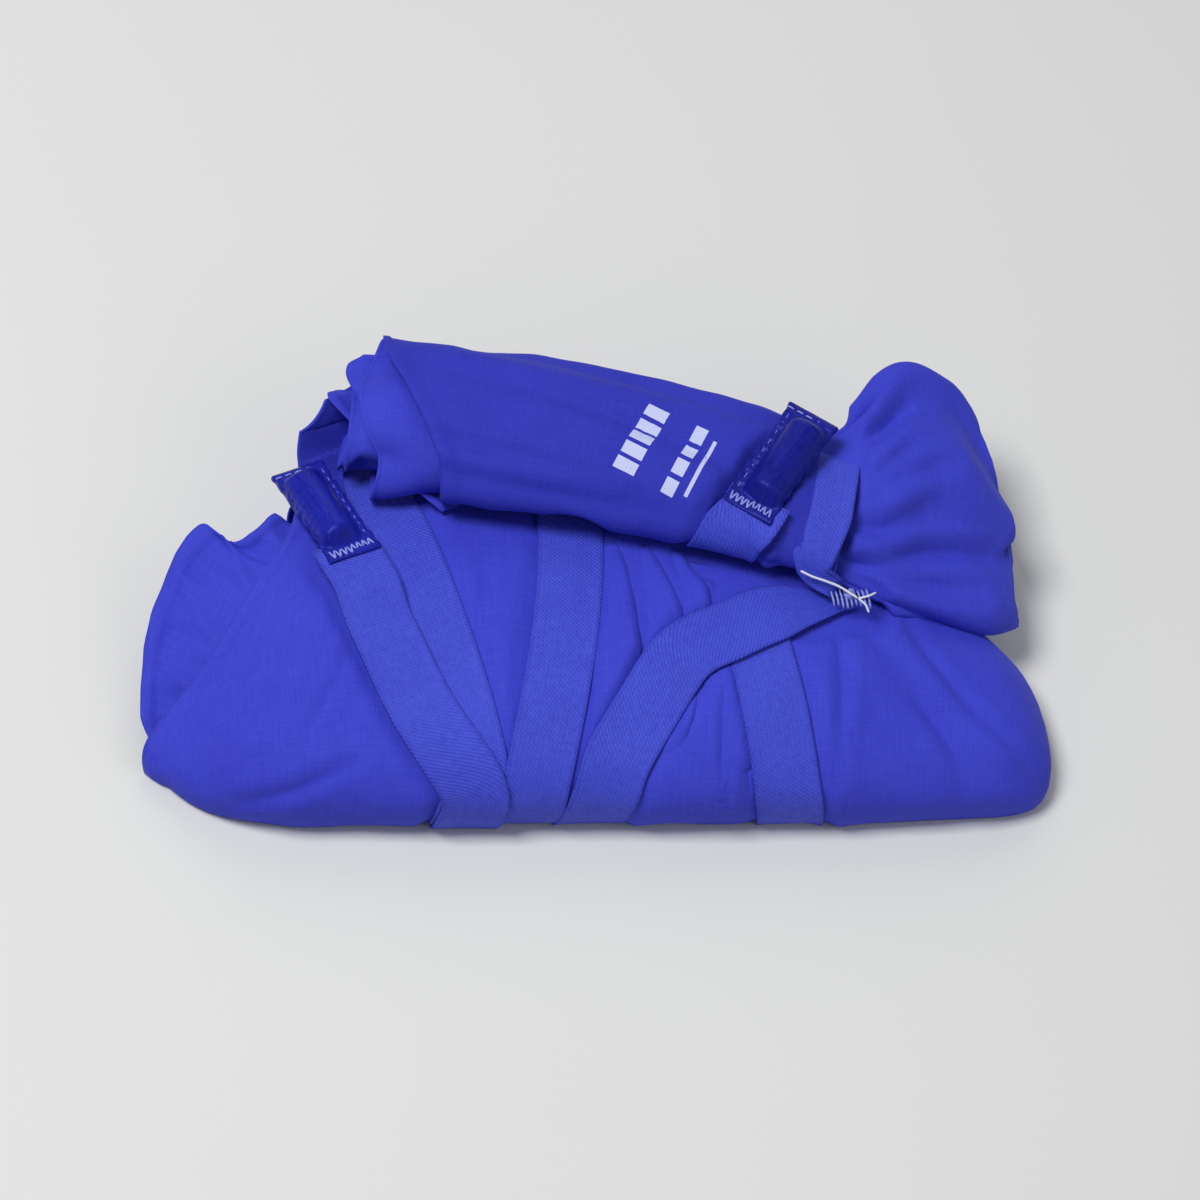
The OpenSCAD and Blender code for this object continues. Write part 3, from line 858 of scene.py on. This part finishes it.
def make_cloth():
    """One cloth in two pieces, for the fold that lies below and the roll and fan above."""
    plain = cotton("cotton plain weave, royal blue", "#434bd2", "#3036b6")
    # The roll's skin is the same cloth as the rest, drawn darker as painted shade; its white print
    # is real.
    printed = cotton("cotton plain weave, printed, darker with painted shade", "#363dc0", "#272da4", printed=True)
    pack, grid, left, turn = pack_layers(plain)
    lower = join("folded_cloth", [pack, corner(plain), under_layer(plain)] + petals(plain))
    upper = join("rolled_cloth",
                 [roll_layers(printed), mouth_folds(plain), fan(plain)] + mouth(plain))
    for piece, flat, below in ((lower, LOWER_FLAT, ["table"]), (upper, UPPER_FLAT, [lower])):
        stand_in(piece, "root", "swab_cloth")
    return grid, left, turn


# ------------------------------------------------------------------------------------ tape

def ribbon(name, route, material, drawn_in=(False, False)):
    """A woven strip along a route, with rounded edges; its UV map runs in mm along it. Either
    end may be drawn in to a third of its width, where it is sewn at the gather."""
    places, facings = route
    way = unit(np.gradient(places, axis=0))
    side = unit(np.cross(way, facings))
    across = np.array([-1, -0.93, -0.72, -0.48, -0.24, 0, 0.24, 0.48, 0.72, 0.93, 1]) * TAPE_W / 2
    length = np.concatenate([[0], np.cumsum(np.linalg.norm(np.diff(places, axis=0), axis=1))])
    share, draw_l = np.ones(len(length)), 19
    for drawn, away in zip(drawn_in, (length, length[-1] - length)):
        share = share * (0.3 + 0.7 * ease(0, draw_l, away) if drawn else 1)
    grid = places[:, None] + side[:, None] * (across[None, :] * share[:, None])[..., None]
    uneven = 0.16 * ripple(places, 9, 41)[:, None] + 0.12 * ripple(grid, 5, 42)
    pleat = 0.5 * (1 - share[:, None]) * np.sin(across[None, :] * 1.5)
    edge = 0.12 * (np.abs(across) > 0.9 * TAPE_W / 2)
    grid = grid + facings[:, None] * (TAPE_T + uneven * 0.6 + edge + pleat)[..., None]
    flat = np.stack(np.meshgrid(length, across, indexing="ij"), axis=-1)
    return sheet(name, grid, flat, material, TAPE_T, face_out=False)


def make_tape():
    """The wraps on the bundle are one piece. The runs to the weights stay separate pieces."""
    material = woven_tape("cotton twill tape, royal blue")
    names = ["weight_a_run", "wraps", "neck_tie", "weight_b_run"]
    drawn = [(False, False), (False, True), (False, True), (False, False)]
    runs = [ribbon(n, r, material, d) for n, r, d in zip(names, routes, drawn)]
    stand_in(join("woven_tape", runs[1:3]), "root", "pull_tape")
    for which, piece, bend in (("a", runs[0], 7), ("b", runs[3], 4)):
        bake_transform(piece)


# --------------------------------------------------------------------------------- weights

def sleeve(which, material):
    """A satin sleeve: a flat end sewn to the tape, a tight tube round the slug, and a flat fin
    down one side, all one tube of cloth pressed together."""
    at, along, across, up = weight_axes(which)
    long, round_ = np.meshgrid(np.linspace(0.3, SLEEVE_L - 0.3, 60),
                               np.linspace(0, 2 * np.pi, 65), indexing="ij")
    bulge = ease(BULGE_START - 1.5, BULGE_START + 2.5, long)
    bulge = bulge * (1 - ease(BULGE_END - 2, BULGE_END + 1.6, long))
    wide = SLEEVE_W / 2 - 0.35 * bulge
    y = FIN_SHIFT[which] + wide * np.cos(round_) * (1 + 0.03 * np.sin(long * 1.7))
    core = np.sqrt(np.maximum((SLEEVE_D / 2) ** 2 - y ** 2, 0))
    flat = 0.62 + 0.16 * np.sin(long * 2.1 + 1.3 * np.sign(np.cos(round_)))
    height = np.maximum(flat, core * bulge) * np.sign(np.sin(round_))
    height = height * np.minimum(1, np.abs(np.sin(round_)) * 6)
    height = height * (1 - 0.75 * ease(SLEEVE_L - 1, SLEEVE_L - 0.3, long))
    pucker = 0.16 * np.sin(long * 3.3 + 2 * np.cos(round_)) * ease(0.4, 1, np.abs(np.cos(round_)))
    z = height + pucker * np.sign(height) * 0.6
    grid = at + long[..., None] * along + y[..., None] * across + z[..., None] * up
    made = sheet("satin_sleeve_" + which, grid, np.stack([long, round_ * 5], axis=-1), material,
                 SATIN_T)
    stand_in(made, "weight_" + which, f"weight_{which}_sleeve")


def stitch(name, start, end, bow, facing, material):
    """One stitch: a short thread that rises out of the cloth, lies on it and dips back in."""
    start, end, facing = (np.array(v, float) for v in (start, end, facing))
    share = np.linspace(0, 1, 7)
    line = start + (end - start) * share[:, None]
    line = line + facing * (bow * np.sin(share * np.pi) - THREAD_T[name] * 0.2)[:, None]
    return tube(name, line, material, sides=6)


def tube(name, line, material, sides=8):
    """A round thread along a line of points, closed at both ends."""
    way = unit(np.gradient(line, axis=0))
    spare = np.array([0.0, 0, 1]) if abs(way[0][2]) < 0.8 else np.array([1.0, 0, 0])
    side = unit(np.cross(way, spare))
    top = np.cross(side, way)
    angle = np.arange(sides) * 2 * np.pi / sides
    taper = np.ones(len(line))
    taper[[0, -1]] = 0.5
    ring = (np.cos(angle)[None, :, None] * side[:, None]
            + np.sin(angle)[None, :, None] * top[:, None])
    grid = line[:, None] + ring * (THREAD_T[name] / 2 * taper)[:, None, None]
    count = len(line)
    index = np.arange(count * sides).reshape(count, sides)
    after = np.roll(index, -1, axis=1)
    quads = np.stack([index[:-1], after[:-1], after[1:], index[1:]], axis=-1).reshape(-1, 4)
    ends = [index[0][::-1].tolist(), index[-1].tolist()]
    return add_mesh(name, grid, quads.tolist() + ends, material)


def make_weight(which, body_cloth, pale, blue):
    """A sleeve, the zigzag tack that holds it to the tape, and its end and side seams."""
    at, along, across, up = weight_axes(which)
    sleeve(which, body_cloth)

    def place(x, y, z=0.85):
        """A point on the sleeve: along it, across it and above its middle."""
        return at + along * x + across * y + up * z

    shift, stitch_l = FIN_SHIFT[which], 1.5
    zigzag = [place(1.1 + 2.3 * (k % 2), shift - 4.6 + 0.62 * k, 0.86) for k in range(16)]
    tack = [stitch("tack", a, b, 0.12, up, pale) for a, b in zip(zigzag, zigzag[1:])]
    end, edge = SLEEVE_L - 1.5, shift + math.copysign(SLEEVE_W / 2 - 1.1, shift)
    ends = [stitch("end", place(end, shift + y), place(end, shift + y + stitch_l), 0.12, up, pale)
            for y in np.arange(-4.6, 4, 2.1)]
    sides = [stitch("side", place(x, edge), place(x + stitch_l, edge), 0.1, up, blue)
             for x in np.arange(BULGE_START + 0.4, SLEEVE_L - 3, 2.3)]
    for kind, stitches, slot in (("bar_tack", tack, "pale_thread"),
                                 ("end_seam", ends, "pale_thread"),
                                 ("side_seam", sides, "blue_thread")):
        stand_in(join(f"{kind}_{which}", stitches), "weight_" + which, f"weight_{which}_{kind}")


def make_threads(pale, white, blue, grid, left, turn):
    """The gather's stitches and knot, the loose white thread, and the flap's hem stitching."""
    cast = [stitch("cast", GATHER + (0.9 * k, 1.6 + 0.3 * math.sin(k * 2.1), 0.6),
                   GATHER + (0.9 * k + 0.5, -2.4 + 0.4 * math.sin(k * 1.3), 0.2), 0.5,
                   (0, -0.3, 0.9), pale) for k in range(-4, 5)]
    a = np.linspace(0, 5.6, 15)
    knot = [tube("knot", GATHER + np.stack([np.cos(a) * (0.9 - 0.3 * k), np.sin(a) * 0.8,
                                            0.9 + 0.35 * k + 0.3 * np.sin(a * 2)], axis=-1),
                 pale) for k in range(3)]
    stand_in(join("gather_stitches", cast + knot), "root", "gather_stitching")
    stray = smooth([0, 1, 2, 3, 4], GATHER + np.array(
        [(1.6, -1.2, 1.4), (-2, 0.6, 2.7), (-5, 1.6, 3.4), (-7.6, 2.3, 3.9), (-10, 3.2, 4.6)]),
        np.linspace(0, 4, 28))
    fork = [smooth([0, 1, 2], GATHER + np.array(p), np.linspace(0, 2, 12)) for p in (
        [(1.6, -1.2, 1.4), (3, -2.4, 0.9), (3.6, -3.8, 0.2)],
        [(1.6, -1.2, 1.4), (3.6, -0.8, 1.7), (5.4, 0.4, 1.2)])]
    tail = [tube("stray", stray, white)] + [tube("fork", f, white) for f in fork]
    stand_in(join("loose_thread", tail), "root", "thread_tail")
    hem = []
    out = normals(grid)
    # The hem's stitches lie on the part of the edge that shows, 1.9 mm in from it.
    shown = [j for j in range(len(turn)) if 20 < turn[j] < 172]
    rows = [int(np.argmin(np.abs(grid[:, j, 0] - left[j] - 1.9))) for j in shown]
    line = grid[rows, shown] + out[rows, shown] * 0.12
    length = np.concatenate([[0], np.cumsum(np.linalg.norm(np.diff(line, axis=0), axis=1))])
    for begin in np.arange(0, length[-1] - 2, 2.4):
        a, b = (smooth(length, line, np.array([d]))[0] for d in (begin, begin + 1.7))
        j = int(np.searchsorted(length, begin))
        hem.append(stitch("hem", a, b, 0.16, out[2, shown[min(j, len(shown) - 1)]], blue))
    stand_in(join("hem_stitches", hem), "root", "hem_stitching")


# ----------------------------------------------------------------------------------- scene

add_camera()
add_light("key", (-0.5, -0.1, 1.1), 0.42, 11)
add_light("fill", (0.8, -0.6, 0.7), 0.9, 2)
add_light("back", (0.1, 0.9, 0.8), 0.8, 2)
bpy.context.scene.view_settings.view_transform = "Standard"
world = bpy.data.worlds.new("soft daylight")
bpy.context.scene.world = world
world.use_nodes = True
world.node_tree.nodes["Background"].inputs[0].default_value = colour("#e8ecf2")
world.node_tree.nodes["Background"].inputs[1].default_value = 0.26

bpy.ops.object.select_all(action="DESELECT")
bpy.ops.mesh.primitive_plane_add(size=6, location=(0, 0, 0))
floor = bpy.context.object
floor.name = "table"
floor.data.materials.append(table_top("pale laminate, matt"))

pale_thread = thread("polyester thread, pale blue", "#98a5ea", "#6c79d4")
white_thread = thread("polyester thread, white", "#eef0f6", "#c9cde0")
blue_thread = thread("polyester thread, blue", "#6a76ea", "#3a45c4")
pack_grid, pack_left, pack_turn = make_cloth()
make_tape()
make_weight("a", satin("polyester satin, navy", "#2029ac", "#0a0c70"), pale_thread, blue_thread)
# Weight B's satin is the same as weight A's, drawn darker as painted shade, where it lies in a
# hollow of the cloth.
make_weight("b", satin("polyester satin, navy, darker with painted shade", "#1c2296", "#090b66"), pale_thread,
            blue_thread)
make_threads(pale_thread, white_thread, blue_thread, pack_grid, pack_left, pack_turn)
slug_steel = steel("turned steel, dull")
for side in "ab":
    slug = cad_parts[f"weight_{side}_slug"]
    slug.data.materials.clear()
    slug.data.materials.append(slug_steel)
